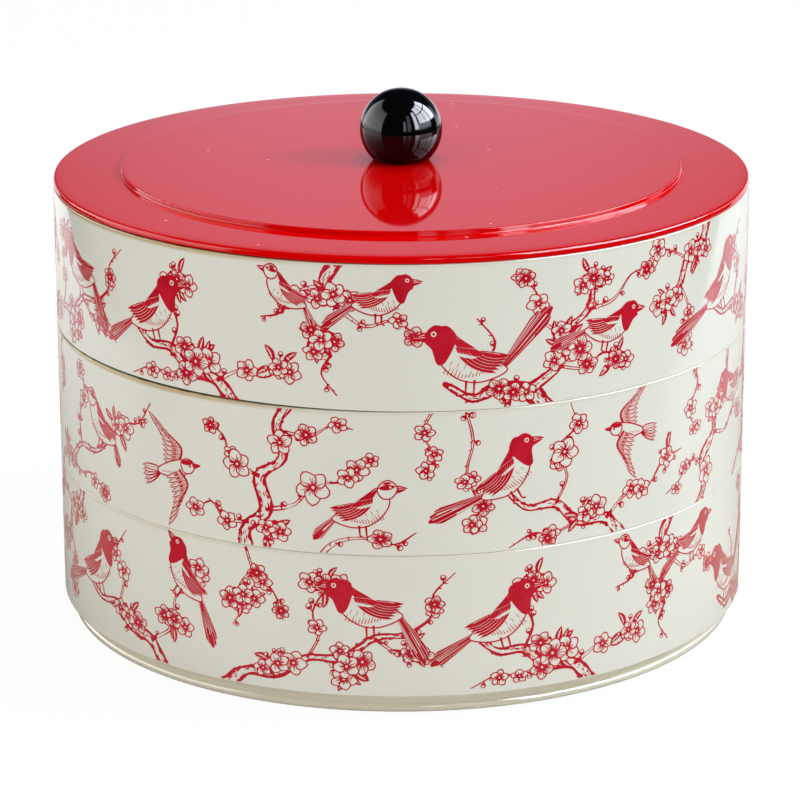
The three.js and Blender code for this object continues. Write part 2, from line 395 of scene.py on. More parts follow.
def arc(radius, height, size, start, end, steps):
    """Points (radius, height) along an arc, angles in degrees from the outward direction."""
    angles = [math.radians(start + (end - start) * k / steps) for k in range(steps + 1)]
    return [(radius + size * math.cos(a), height + size * math.sin(a)) for a in angles]


def shell_tree():
    """Geometry nodes that turn a profile, drawn in the XZ plane, round the Z axis."""
    work = Group("turned_shell", "Shell", Profile="Geometry", Segments="Int", Finish="Material")
    given = work.node("NodeGroupInput", output="Profile")
    segments = given.output("Segments")
    count = work.node("GeometryNodeAttributeDomainSize", None, {0: given}, output="Point Count")
    grid = work.node("GeometryNodeMeshGrid", None, {"Vertices X": count, "Vertices Y": segments + 1})
    index = work.node("GeometryNodeInputIndex")
    along = (index / (segments + 1)).floor()
    turn = (index % (segments + 1)) * (2 * math.pi) / segments
    spot = work.node("GeometryNodeInputPosition")
    sampled = work.node("GeometryNodeSampleIndex", {"data_type": "FLOAT_VECTOR"},
                        {"Geometry": given, "Value": spot, "Index": along})
    turned = work.node("ShaderNodeVectorRotate", {"rotation_type": "Z_AXIS"},
                       {"Vector": sampled, "Angle": turn})
    shape = work.node("GeometryNodeSetPosition", None, {"Geometry": grid, "Position": turned})
    welded = work.node("GeometryNodeMergeByDistance", None, {"Geometry": shape, "Distance": WELD})
    smooth_shell = work.node("GeometryNodeSetShadeSmooth", None, {"Geometry": welded})
    return work.close(smooth_shell, given.output("Finish"))


def baked(name, mesh, tree, inputs):
    """A mesh put through a node tree, as a plain object at the origin."""
    source = placed(name + "_source", mesh)
    modifier = source.modifiers.new("nodes", "NODES")
    modifier.node_group = tree
    for socket in tree.interface.items_tree:
        if socket.in_out == "INPUT" and socket.name in inputs:
            modifier[socket.identifier] = inputs[socket.name]
    graph = bpy.context.evaluated_depsgraph_get()
    result = bpy.data.meshes.new_from_object(source.evaluated_get(graph))
    result.name = name
    source.modifiers.remove(modifier)
    bpy.data.objects.remove(source)
    return placed(name, result)


def shell(name, profile, segments, material):
    """A turned piece from (radius, height) points, its faces outwards and its edges crisp."""
    line = bpy.data.meshes.new(name + "_profile")
    line.from_pydata([(r, 0.0, z) for r, z in profile], [(k, k + 1) for k in range(len(profile) - 1)], [])
    tree = bpy.data.node_groups.get("turned_shell") or shell_tree()
    piece = baked(name, line, tree, {"Segments": segments, "Finish": material})
    work = bmesh.new()
    work.from_mesh(piece.data)
    bmesh.ops.recalc_face_normals(work, faces=work.faces)
    work.to_mesh(piece.data)
    work.free()
    piece.data.set_sharp_from_angle(angle=CREASE)
    return piece


def tray_seat(tray, tier):
    """Height of the seam under a tier's wall, or under the lid."""
    return tier * tray.tier_pitch + tray.foot_height


def loosen(piece, tray, tier, loose):
    """Opens the seam under a piece's outer edge: a hairline all round, and wider at the front left."""
    seat, inside = tray_seat(tray, tier), tray.wall_radius - 3.0 * MM
    narrow, front_left = 1.5, 3.46
    for vertex in piece.data.vertices:
        spot = vertex.co
        if math.hypot(spot.x, spot.y) > inside and -0.1 * MM < spot.z - seat < 0.55 * MM:
            side = max(0.0, math.cos(narrow * math.atan2(spot.y, spot.x) + front_left))
            spot.z += tray.seam + loose * side * side


def tray_profile(s, base):
    """One tray, from the axis under it to the axis in it. Each long straight face has a point just inside
    its ends, so that the small roundings don't tilt its smooth normals."""
    wall, inner, foot = s.wall_radius, s.wall_radius - s.wall_thickness, s.foot_height
    cove_top, rim, recess = wall - 1.1 * MM, s.tier_pitch + foot, 2.0 * MM
    # The recess under the floor, the bead that the tray stands on, and the cove over it.
    profile = [(0.0, recess), (110.2 * MM, recess)]
    profile += arc(0.1102, 0.0014, 0.6 * MM, 90, 20, 4)
    profile += arc(0.1116, 0.0004, 0.4 * MM, 200, 270, 4)
    profile += arc(0.1134, 0.0016, 1.6 * MM, -90, 62, 14)
    profile += arc(cove_top, foot - 3.0 * MM, 3.0 * MM, 172, 92, 10)
    # The wall outside, with a rounding at each end.
    profile += arc(wall - 0.3 * MM, foot + 0.3 * MM, 0.3 * MM, -90, 0, 5)
    profile += [(wall, foot + 0.34 * MM), (wall, rim - 0.32 * MM)]
    profile += arc(wall - 0.28 * MM, rim - 0.28 * MM, 0.28 * MM, 0, 90, 6)
    # The rim, the wall inside and the floor.
    profile += [(cove_top + 0.1 * MM, rim), (cove_top - 0.12 * MM, rim - 0.2 * MM)]
    profile += [(inner + 0.1 * MM, rim - 2.7 * MM), (inner, rim - 3.4 * MM)]
    profile += arc(inner - s.floor_fillet, s.floor_top + s.floor_fillet, s.floor_fillet, 0, -90, 12)
    profile += [(0.060, s.floor_top), (0.0, s.floor_top)]
    return [(r, z + base) for r, z in profile]


def flange_height(tray, lid, radius):
    """Height of the flange's top at a radius. Its crown runs on to the axis, under the disc."""
    crown = lid.flange_crown * (1 - (radius / tray.wall_radius) ** 2)
    return tray_seat(tray, LID) + lid.flange_thickness + crown


def disc_height(tray, lid, knob, radius):
    """Height of the raised disc's top at a radius, flat under the knob."""
    share = max(radius, knob.seat_radius) / lid.disc_radius
    return flange_height(tray, lid, lid.disc_radius) + lid.disc_rise + lid.disc_crown * (1 - share * share)


def crowned(height_at, start, end, offset, steps):
    """Points along the flange or the disc between two radii."""
    radii = [start + (end - start) * k / steps for k in range(steps + 1)]
    return [(r, height_at(r) + offset) for r in radii]


def lid_profile(tray, lid, knob):
    """The lid from its screw hole, out along the underside and back over the top."""
    wall, seat = tray.wall_radius, tray_seat(tray, LID)
    hole, edge, disc, top = 2.3 * MM, 0.5 * MM, lid.disc_radius, seat + lid.flange_thickness
    skirt_out = wall - tray.wall_thickness - 0.4 * MM
    skirt_in, skirt_foot = skirt_out - 2.4 * MM, seat - lid.skirt_depth
    inner = disc - lid.thickness

    def flange_at(radius):
        return flange_height(tray, lid, radius)

    def disc_at(radius):
        return disc_height(tray, lid, knob, radius)

    # Under the disc and the flange, and down inside the skirt.
    profile = [(hole, disc_at(0) - lid.thickness)]
    profile += crowned(disc_at, knob.seat_radius, inner - edge, -lid.thickness, 14)
    profile += [(inner - 0.1 * MM, disc_at(inner) - lid.thickness - 0.35 * MM)]
    profile += crowned(flange_at, inner, skirt_in - 0.6 * MM, -lid.thickness, 6)
    profile += arc(skirt_in - 0.6 * MM, flange_at(skirt_in) - lid.thickness - 0.6 * MM, 0.6 * MM, 80, 0, 4)
    profile += arc(skirt_in + edge, skirt_foot + edge, edge, 180, 270, 5)
    # Up the skirt to the seam, and round the lid's edge.
    profile += arc(skirt_out - edge, skirt_foot + edge, edge, -90, 0, 5)
    profile += [(skirt_out, seat), (wall - edge, seat)]
    profile += arc(wall - edge, seat + edge, edge, -75, 0, 5)
    profile += [(wall, seat + 0.54 * MM), (wall - 0.12 * MM, top - 0.78 * MM)]
    profile += arc(wall - 0.92 * MM, top - 0.8 * MM, 0.8 * MM, 7, 84, 8)
    # Over the flange, up the disc's side and in to the hole.
    profile += crowned(flange_at, wall - 1.6 * MM, disc + 0.6 * MM, 0, 6)
    profile += arc(disc + 0.4 * MM, flange_at(disc) + 0.4 * MM, 0.4 * MM, 262, 180, 5)
    profile += [(disc, flange_at(disc) + 0.44 * MM), (disc, disc_at(disc) - 0.36 * MM)]
    profile += arc(disc - 0.32 * MM, disc_at(disc) - 0.32 * MM, 0.32 * MM, 0, 86, 6)
    profile += crowned(disc_at, disc - 0.8 * MM, knob.seat_radius, 0, 22)
    profile += [(hole + 0.15 * MM, disc_at(0)), (hole, disc_at(0) - 0.15 * MM), profile[0]]
    return profile


def knob_profile(tray, lid, knob):
    """The ball, cut flat below its centre, with a blind hole for the insert."""
    seat, hole, foot_round = disc_height(tray, lid, knob, 0), knob.insert_radius, 0.35 * MM
    start = -math.degrees(math.asin(knob.centre_rise / knob.radius)) + 2.5
    foot = math.sqrt(knob.radius ** 2 - knob.centre_rise ** 2)
    profile = [(0.0, seat + knob.insert_depth), (hole, seat + knob.insert_depth), (hole, seat + 0.2 * MM)]
    profile += [(hole + 0.2 * MM, seat), (foot - foot_round, seat)]
    profile += arc(0.0, seat + knob.centre_rise, knob.radius, start, 90, 60)
    return profile


def divider_plan(s):
    """Outline of the walls seen from above: out and back along each arm, and the middle cell."""
    half, lean = s.thickness / 2, SIXTH / 2
    start = (s.cell_apothem + half) / math.cos(lean) - half * math.tan(lean)
    rim, cell = [], []
    for arm in ARMS:
        rim += [arm * complex(start, -half), arm * complex(s.reach, -half)]
        rim += [arm * complex(s.reach, half), arm * complex(start, half)]
        cell.append(arm * (s.cell_apothem - half) / math.cos(lean))
    return rim, cell


def divider(name, s, floor, material):
    """Six walls round a middle cell, their feet bevelled and every edge rounded."""
    work = bmesh.new()
    edges = []
    for outline in divider_plan(s):
        corners = [work.verts.new((p.real, p.imag, floor)) for p in outline]
        edges += [work.edges.new((corners[k - 1], corners[k])) for k in range(len(corners))]
    bmesh.ops.triangle_fill(work, use_beauty=True, use_dissolve=False, edges=edges)
    raised = bmesh.ops.extrude_face_region(work, geom=list(work.faces))["geom"]
    tops = [v for v in raised if isinstance(v, bmesh.types.BMVert)]
    bmesh.ops.translate(work, vec=(0, 0, s.height), verts=tops)
    for arm in ARMS:
        corner = arm * (s.reach - s.foot_bevel)
        everything = list(work.verts) + list(work.edges) + list(work.faces)
        cut = bmesh.ops.bisect_plane(work, geom=everything, plane_co=(corner.real, corner.imag, floor),
                                     plane_no=(arm.real, arm.imag, -1), clear_outer=True)["geom_cut"]
        bmesh.ops.holes_fill(work, edges=[e for e in cut if isinstance(e, bmesh.types.BMEdge)], sides=0)
    bmesh.ops.remove_doubles(work, verts=work.verts, dist=WELD)
    bmesh.ops.dissolve_limit(work, angle_limit=0.01, verts=work.verts, edges=work.edges)
    bmesh.ops.recalc_face_normals(work, faces=work.faces)
    mesh = finished(name, work)
    mesh.materials.append(material)
    mesh.shade_smooth()
    piece = placed(name, mesh)
    bevel = piece.modifiers.new("rounded edges", "BEVEL")
    bevel.width, bevel.segments, bevel.limit_method = s.edge_round, 3, "ANGLE"
    bevel.angle_limit, bevel.harden_normals = math.radians(20), True
    return piece


# ---- Drawing
# Complex numbers are points on the flat sheet, in millimetres: along the wall, and up from the tier's foot.
# LINE is the width of an outline. TURN is a full turn, rounded as every angle drawn at random takes it.

LINE = 0.46
TURN = 6.28


def smooth(points, steps=5, closed=False):
    """A curve through points, by Catmull-Rom."""
    if closed:
        ring, spans = [points[-1], *points, points[0], points[1]], len(points)
    else:
        ring = [2 * points[0] - points[1], *points, 2 * points[-1] - points[-2]]
        spans = len(points) - 1
    curve = []
    for i in range(spans):
        a, b, c, d = ring[i:i + 4]
        for t in (k / steps for k in range(steps)):
            curve.append(0.5 * (2 * b + (c - a) * t + (2 * a - 5 * b + 4 * c - d) * t * t
                                + (3 * b - a - 3 * c + d) * t ** 3))
    return curve if closed else curve + [points[-1]]


def loop(centre, radius, steps=10, tilt=1.0):
    """Points on a circle, squeezed to tilt in height."""
    spokes = [cmath.rect(radius, 2 * math.pi * k / steps) for k in range(steps)]
    return [centre + complex(p.real, p.imag * tilt) for p in spokes]


def spread(values, share):
    """The value at a share of the way along a list."""
    place = min(max(share, 0.0), 1.0) * (len(values) - 1)
    k = min(int(place), len(values) - 2)
    return values[k] + (values[k + 1] - values[k]) * (place - k)


class Drawing:
    """Shapes of ink and paper laid over one another."""

    def __init__(self, seed):
        self.random = random.Random(seed)
        self.shapes = []
        self.frame = (0j, 1 + 0j, False)

    def put(self, origin, size, turn=0.0, flip=False, anchor=0j):
        """Draws what follows with its anchor at a place, at a size and turn, or mirrored."""
        facing = cmath.rect(1, math.radians(turn)) * (-size if flip else size)
        shift = facing * (anchor.conjugate() if flip else anchor)
        self.frame = (origin - shift, facing, flip)

    def fill(self, outline, ink=True):
        """A closed shape of ink or paper."""
        origin, turn, flip = self.frame
        laid = [origin + turn * (p.conjugate() if flip else p) for p in outline]
        self.shapes.append((laid, ink))

    def stroke(self, path, widths, ink=True):
        """A line whose width changes along it; widths are for the sheet, whatever the frame's size."""
        last, size = len(path) - 1, abs(self.frame[1])
        left, right = [], []
        for i, p in enumerate(path):
            ahead = path[min(i + 1, last)] - path[max(i - 1, 0)]
            side = ahead / abs(ahead) * 0.5j * spread(widths, i / last) / size
            left.append(p + side)
            right.append(p - side)
        for i in range(last):
            self.fill([left[i], right[i], right[i + 1], left[i + 1]], ink)

    def leaf(self, start, end, width, ink=True, bend=0.0, steps=6):
        """A leaf or feather shape between two points."""
        along = end - start
        upper, lower = [], []
        for k in range(1, steps):
            t = k / steps
            bulge = math.sin(math.pi * t) ** 0.7 * width / 2
            middle = start + along * (t + 1j * bend * math.sin(math.pi * t))
            side = along / abs(along) * 1j * bulge
            upper.append(middle + side)
            lower.append(middle - side)
        self.fill([start, *upper, end, *reversed(lower)], ink)

    def feather(self, start, end, width, edge, bend):
        """A leaf of ink with an edge of paper, which parts it from what is under it."""
        self.leaf(start, end, width + edge, False, bend)
        self.leaf(start, end, width, True, bend)

    def blob(self, *points, ink=True, steps=4):
        """A rounded shape through points. One of paper is outlined in ink."""
        outline = smooth(points, steps, True)
        self.fill(outline, ink)
        if not ink:
            self.stroke(outline + outline[:1], (LINE, LINE))


def plume(d, start, end, width, streaks=2):
    """A long blunt feather in ink, edged in paper and streaked with it."""
    along = end - start
    side = along / abs(along) * 0.5j
    for edge, ink in ((0.30 / abs(d.frame[1]), False), (0.0, True)):
        broad = side * (width + edge)
        outline = [start + broad * 0.5, start + along * 0.55 + broad * 0.8, start + along * 0.9 + broad]
        outline += [end + broad * 0.3, end - broad * 0.5, start + along * 0.88 - broad]
        d.fill(outline + [start + along * 0.5 - broad * 0.85, start - broad * 0.5], ink)
    for _ in range(streaks):
        first, last = d.random.uniform(0.1, 0.45), d.random.uniform(0.6, 0.95)
        shift = side * width * d.random.uniform(-0.55, 0.55)
        d.stroke([start + along * first + shift, start + along * last + shift], (0.08, 0.3), False)


def blossom(d, centre, radius, tilt=1.0, shaded=False):
    """An open five-petalled flower round a dark star; a shaded one has hatched petals."""
    d.put(centre, radius)
    vary, turn = d.random.uniform, d.random.uniform(0, TURN)
    line = LINE / radius

    def squeezed(p):
        return complex(p.real, p.imag * tilt)

    for k in range(5):
        lean = turn + 2 * math.pi * k / 5
        middle, size = cmath.rect(0.53, lean), vary(0.45, 0.52)
        rim, inside = [], []
        for s in range(12):
            phase = 2 * math.pi * s / 12
            out = cmath.rect(size * (1 + 0.08 * math.cos(3 * phase) + vary(-0.06, 0.06)), phase + lean)
            rim.append(squeezed(middle + out))
            inside.append(squeezed(middle + out * (1 - line / size)))
        d.fill(rim)
        d.fill(inside, False)
    rays = 26 if shaded else 17
    star = []
    for k in range(rays):
        spoke = squeezed(cmath.rect(1, turn + 2 * math.pi * (k + vary(-0.25, 0.25)) / rays))
        reach = vary(0.55, 0.93) if shaded else vary(0.38, 0.74)
        d.stroke([spoke * 0.1, spoke * reach], (0.5, 0.18))
        star += [spoke * vary(0.28, 0.42), spoke * cmath.rect(vary(0.14, 0.2), math.pi / rays)]
    d.fill(star)
    d.fill(loop(0, 0.1, 6, tilt), False)


def bud(d, foot, direction, size):
    """A round bud in its dark cup, on a short stalk."""
    d.put(foot, size, math.degrees(direction))
    centre = 1.8 + 0j
    d.stroke([0j, 1 + 0j], (0.5, 0.45))
    d.fill(loop(centre, 1, 10))
    d.fill(loop(centre + 0.14, 1 - LINE * 0.9 / size, 9), False)
    for side in (-0.75j, 0j, 0.75j):
        d.leaf(centre - 1.05, centre + 0.1 + side, 0.62)


def foliage(d, foot, direction, size):
    """A pointed leaf in ink with a paper vein."""
    d.put(foot, size, math.degrees(direction))
    bend = d.random.uniform(-0.15, 0.15)
    d.leaf(0j, 1 + 0j, 0.36, True, bend)
    d.leaf(0.2 + 0j, 0.9 + 0j, 0.07, False, bend)
    for k in range(3):
        p = 0.3 + 0.18 * k
        d.stroke([p + 0.02j, p + 0.1 + 0.1j], (0.16, 0.08), False)


def cluster(d, centre, count, radius, shaded=0.3):
    """Blossoms, buds and leaves crowded round a place, dark between the petals."""
    vary = d.random.uniform
    for k in range(2 + count // 2):
        lean = vary(0, TURN)
        foliage(d, centre + cmath.rect(radius * 0.5, lean), lean + vary(-0.4, 0.4), radius * vary(1.2, 1.7))
    for k in range(count + 2):
        lean = vary(0, TURN)
        bud(d, centre + cmath.rect(radius * 0.65, lean), lean + vary(-0.4, 0.4), vary(0.75, 1.2))
    places = [cmath.rect(radius * vary(0.95, 1.3), TURN * k / max(count - 1, 1) + vary(-0.4, 0.4))
              for k in range(count - 1)]
    d.put(centre, radius)
    for away in places:
        d.fill([away / radius * 0.62 + p * vary(0.8, 1.15) for p in loop(0, 0.72, 12)])
    for away in (*places, 0j):
        blossom(d, centre + away, radius * vary(0.75, 1.05), vary(0.8, 1.0), d.random.random() < shaded)


def twig(d, points, start, buds, blooms=0, spurs=4):
    """A thin branch with spurs, buds and a few blossoms. A thick one is pale inside."""
    d.put(0j, 1)
    vary, path = d.random.uniform, smooth(points, 4)
    widths = [spread((start, 0.4), k / 9) * vary(0.75, 1.3) for k in range(10)]
    d.stroke(path, widths)
    if start > 1.0:
        d.stroke(path[1:len(path) * 2 // 3], [max(w - 0.75, 0.1) for w in widths[:6]], False)
    for k in range(spurs + buds):
        i = d.random.randrange(1, len(path) - 1)
        ahead = cmath.phase(path[i + 1] - path[i - 1]) + d.random.choice((-1, 1)) * vary(0.6, 1.1)
        if k < spurs:
            d.put(0j, 1)
            d.stroke([path[i], path[i] + cmath.rect(vary(0.7, 1.6), ahead)], (0.5, 0.2))
        else:
            bud(d, path[i], ahead, vary(0.75, 1.2))
    for k in range(blooms):
        i = d.random.randrange(len(path) // 3, len(path))
        blossom(d, path[i] + cmath.rect(vary(0.5, 1.5), vary(0, TURN)), vary(2.9, 4.2), vary(0.75, 1.0),
                d.random.random() < 0.3)


def bough(d, points, start, end, pale=1.0):
    """A thick branch: two rough dark edges, and pale bark between them with blotches and dashes."""
    d.put(0j, 1)
    vary, path = d.random.uniform, smooth(points, 6)
    last = len(path) - 1
    knots = [vary(0.75, 1.25) for _ in range(last // 2 + 2)]
    widths = [spread((start, end), i / last) * spread(knots, i / last) for i in range(last + 1)]
    d.stroke(path, widths)
    bark = [max(w * vary(0.5, 0.75) * pale - 0.5, 0.1) for w in widths]
    inside = [p + vary(-0.12, 0.16) * w for p, w in zip(path, widths)]
    d.stroke(inside[1:-1], bark, False)
    for i in range(last):
        along = path[i + 1] - path[i]
        ahead, room = along / abs(along), widths[i] * 0.5 - 0.2
        for _ in range(max(1, int(abs(along) * widths[i] / 2.0))):
            side = vary(-0.9, 0.9)
            at = path[i] + along * vary(-0.3, 0.6) + ahead * 1j * room * side
            size = vary(0.25, 0.5) if abs(side) < 0.5 else vary(0.4, 0.85)
            d.leaf(at, at + ahead * vary(0.8, 2.4), size, True, vary(-0.1, 0.1), 4)
        if i % 2:
            edge = path[i] + ahead * 0.45j * d.random.choice((-1, 1)) * widths[i]
            d.fill(loop(edge, vary(0.3, 0.65), 6))
            d.stroke([edge, edge + ahead * vary(0.3, 1.1) + vary(-0.9, 0.9) * 1j * ahead], (0.6, 0.2))
    d.fill(loop(path[-1], end * 0.45, 8))


def perched(d, feet, size, turn=0.0, flip=False, head=0.0, tail=0.0, tail_length=1.2, hooded=True):
    """A songbird on its feet facing right, or left when flipped. size is the length of its body."""
    d.put(feet, size, turn, flip, 0.06 - 0.47j)
    vary = d.random.uniform
    base, swing = -0.50 - 0.08j, cmath.rect(1, math.radians(215 + tail))
    for k, lean in enumerate((-0.10, 0.09, -0.035, 0.03)):
        plume(d, base - swing * 0.14, base + swing * cmath.rect(tail_length * (0.86 + 0.05 * k), lean), 0.135)
    d.blob(0.40 + 0.60j, 0.12 + 0.42j, -0.25 + 0.14j, -0.58 - 0.08j, -0.48 - 0.20j,
           -0.12 - 0.29j, 0.22 - 0.22j, 0.50 + 0.02j, 0.62 + 0.34j, ink=False)
    for k in range(16):
        t = k / 15
        p = complex(0.5 - 0.9 * t, 0.05 - 0.24 * math.sin(math.pi * (0.2 + 0.66 * t)))
        d.stroke([p, p + (-0.04 + 0.08j) * vary(0.8, 1.8)], (0.34, 0.14))
        if k % 2:
            d.stroke([p + (-0.05 + 0.15j), p + (-0.09 + 0.23j)], (0.14, 0.24))
    if hooded:
        d.blob(0.46 + 0.74j, 0.26 + 0.56j, 0.30 + 0.38j, 0.46 + 0.10j, 0.60 + 0.08j, 0.68 + 0.34j, 0.78 + 0.50j)
    d.blob(0.36 + 0.56j, 0.05 + 0.36j, -0.34 + 0.06j, -0.50 - 0.06j, -0.16 + 0.06j, 0.18 + 0.26j)
    shoulder = 0.26 + 0.30j
    for k in range(6):
        start = shoulder + complex(-0.02 - 0.06 * k, 0.012 * k - 0.10)
        tip = complex(-0.40 - 0.05 * k, -0.16 + 0.055 * k)
        d.feather(start, tip, 0.11, 0.30 / size, 0.05)
        d.stroke([start * 0.8 + tip * 0.2, start * 0.3 + tip * 0.7], (0.08, 0.24), False)
    for k in range(5):
        start = shoulder + complex(0.02 - 0.05 * k, 0.05 - 0.012 * k)
        tip = start + complex(-0.26, -0.16 + 0.012 * k)
        d.feather(start, tip, 0.12, 0.30 / size, 0.08)
    for k in range(3):
        streak = shoulder + complex(0.04 - 0.07 * k, -0.03 - 0.02 * k)
        d.leaf(streak, streak + (-0.24 - 0.09j), 0.05, False, 0.1, 4)
    neck, nod = 0.50 + 0.50j, cmath.rect(1, math.radians(head))

    def on_head(*points):
        return [neck + p * nod for p in points]

    d.blob(*on_head(0.24 + 0.16j, 0.50 + 0.09j, 0.27 + 0.05j), steps=3)
    d.blob(*on_head(0.24 + 0.05j, 0.46 + 0.065j, 0.24 - 0.03j), steps=3)
    d.stroke(on_head(0.25 + 0.07j, 0.47 + 0.08j), (0.22, 0.1), False)
    d.stroke(on_head(0.28 + 0.12j, 0.38 + 0.10j), (0.3, 0.12), False)
    d.blob(*on_head(-0.14 + 0.02j, -0.06 + 0.20j, 0.10 + 0.26j, 0.24 + 0.17j,
                    0.27 + 0.04j, 0.16 - 0.12j, -0.02 - 0.14j), ink=hooded)
    if not hooded:
        d.leaf(*on_head(-0.12 + 0.08j, 0.24 + 0.13j), 0.12)
        d.leaf(*on_head(-0.04 + 0.18j, 0.16 + 0.21j), 0.06)
    eye = on_head(0.13 + 0.11j)[0]
    d.fill(loop(eye, 0.05, 8), not hooded)
    d.fill(loop(eye, 0.026, 6), hooded)
    for x in (-0.02, 0.12):
        foot = complex(x + 0.02, -0.46)
        d.stroke([complex(x, -0.24), foot], (0.8, 0.5))
        for toe in (-0.6, 0.1, 0.8):
            d.stroke([foot, foot + complex(0.09 * math.cos(toe), -0.04 - 0.02 * math.sin(toe))], (0.5, 0.2))


def wing(d, root, wrist, tip, trail):
    """A spread wing: long feathers fanned from its front edge, and two rows of short ones on them."""
    edge, last = smooth([root, wrist, tip], 6), 9
    for row, (reach, width) in enumerate(((1.0, 0.13), (0.55, 0.10), (0.3, 0.08))):
        for k in range(last - row, -1, -1):
            t = k / last
            start = spread(edge, 0.06 + 0.88 * t)
            fan = (1 - t) ** 0.7
            aim = (tip - wrist) / abs(tip - wrist) * (1 - fan) + trail * fan
            end = start + aim / abs(aim) * abs(trail) * reach * (0.75 + 0.45 * t)
            d.feather(start, end, width, 0.03, 0.04)
            if row != 1:
                d.leaf(start, start + (end - start) * 0.93, width * 0.62, False, 0.04)
                d.stroke([start, start + (end - start) * 0.8], (0.16, 0.16))
            else:
                d.stroke([start + (end - start) * 0.3, end], (0.1, 0.2), False)
    d.stroke(edge, (0.9, 0.75, 0.4))


def flying(d, origin, size, turn=0.0, flip=False):
    """A small bird on the wing, flying right, or left when flipped."""
    d.put(origin, size, turn, flip)
    for k in range(5):
        tip = complex(-1.0 + 0.02 * abs(k - 2), -0.30 + 0.11 * k)
        d.leaf(-0.34 + 0j, tip, 0.16, True)
        d.leaf(-0.38 + 0j, -0.38 + (tip + 0.38) * 0.94, 0.10, False)
        d.stroke([-0.4 + 0j, tip * 0.92], (0.2, 0.16))
    wing(d, 0.18 + 0.10j, 0.34 + 0.44j, 0.02 + 0.80j, -0.62 + 0.12j)
    d.blob(0.36 + 0.15j, 0.04 + 0.18j, -0.42 + 0.07j, -0.44 - 0.07j, -0.04 - 0.18j, 0.34 - 0.13j, ink=False)
    for k in range(7):
        p = complex(0.24 - 0.09 * k, -0.12 + 0.01 * k)
        d.stroke([p, p + (-0.05 + 0.05j)], (0.16, 0.26))
    wing(d, 0.16 - 0.02j, 0.30 - 0.38j, -0.04 - 0.74j, -0.60 - 0.16j)
    d.blob(0.24 + 0.11j, 0.40 + 0.20j, 0.57 + 0.13j, 0.60 + 0j, 0.48 - 0.12j, 0.28 - 0.10j, ink=False)
    d.leaf(0.24 + 0.13j, 0.60 + 0.10j, 0.12)
    d.blob(0.57 + 0.09j, 0.78 + 0.02j, 0.58 - 0.03j, steps=3)
    d.fill(loop(0.48 + 0.03j, 0.032, 6))


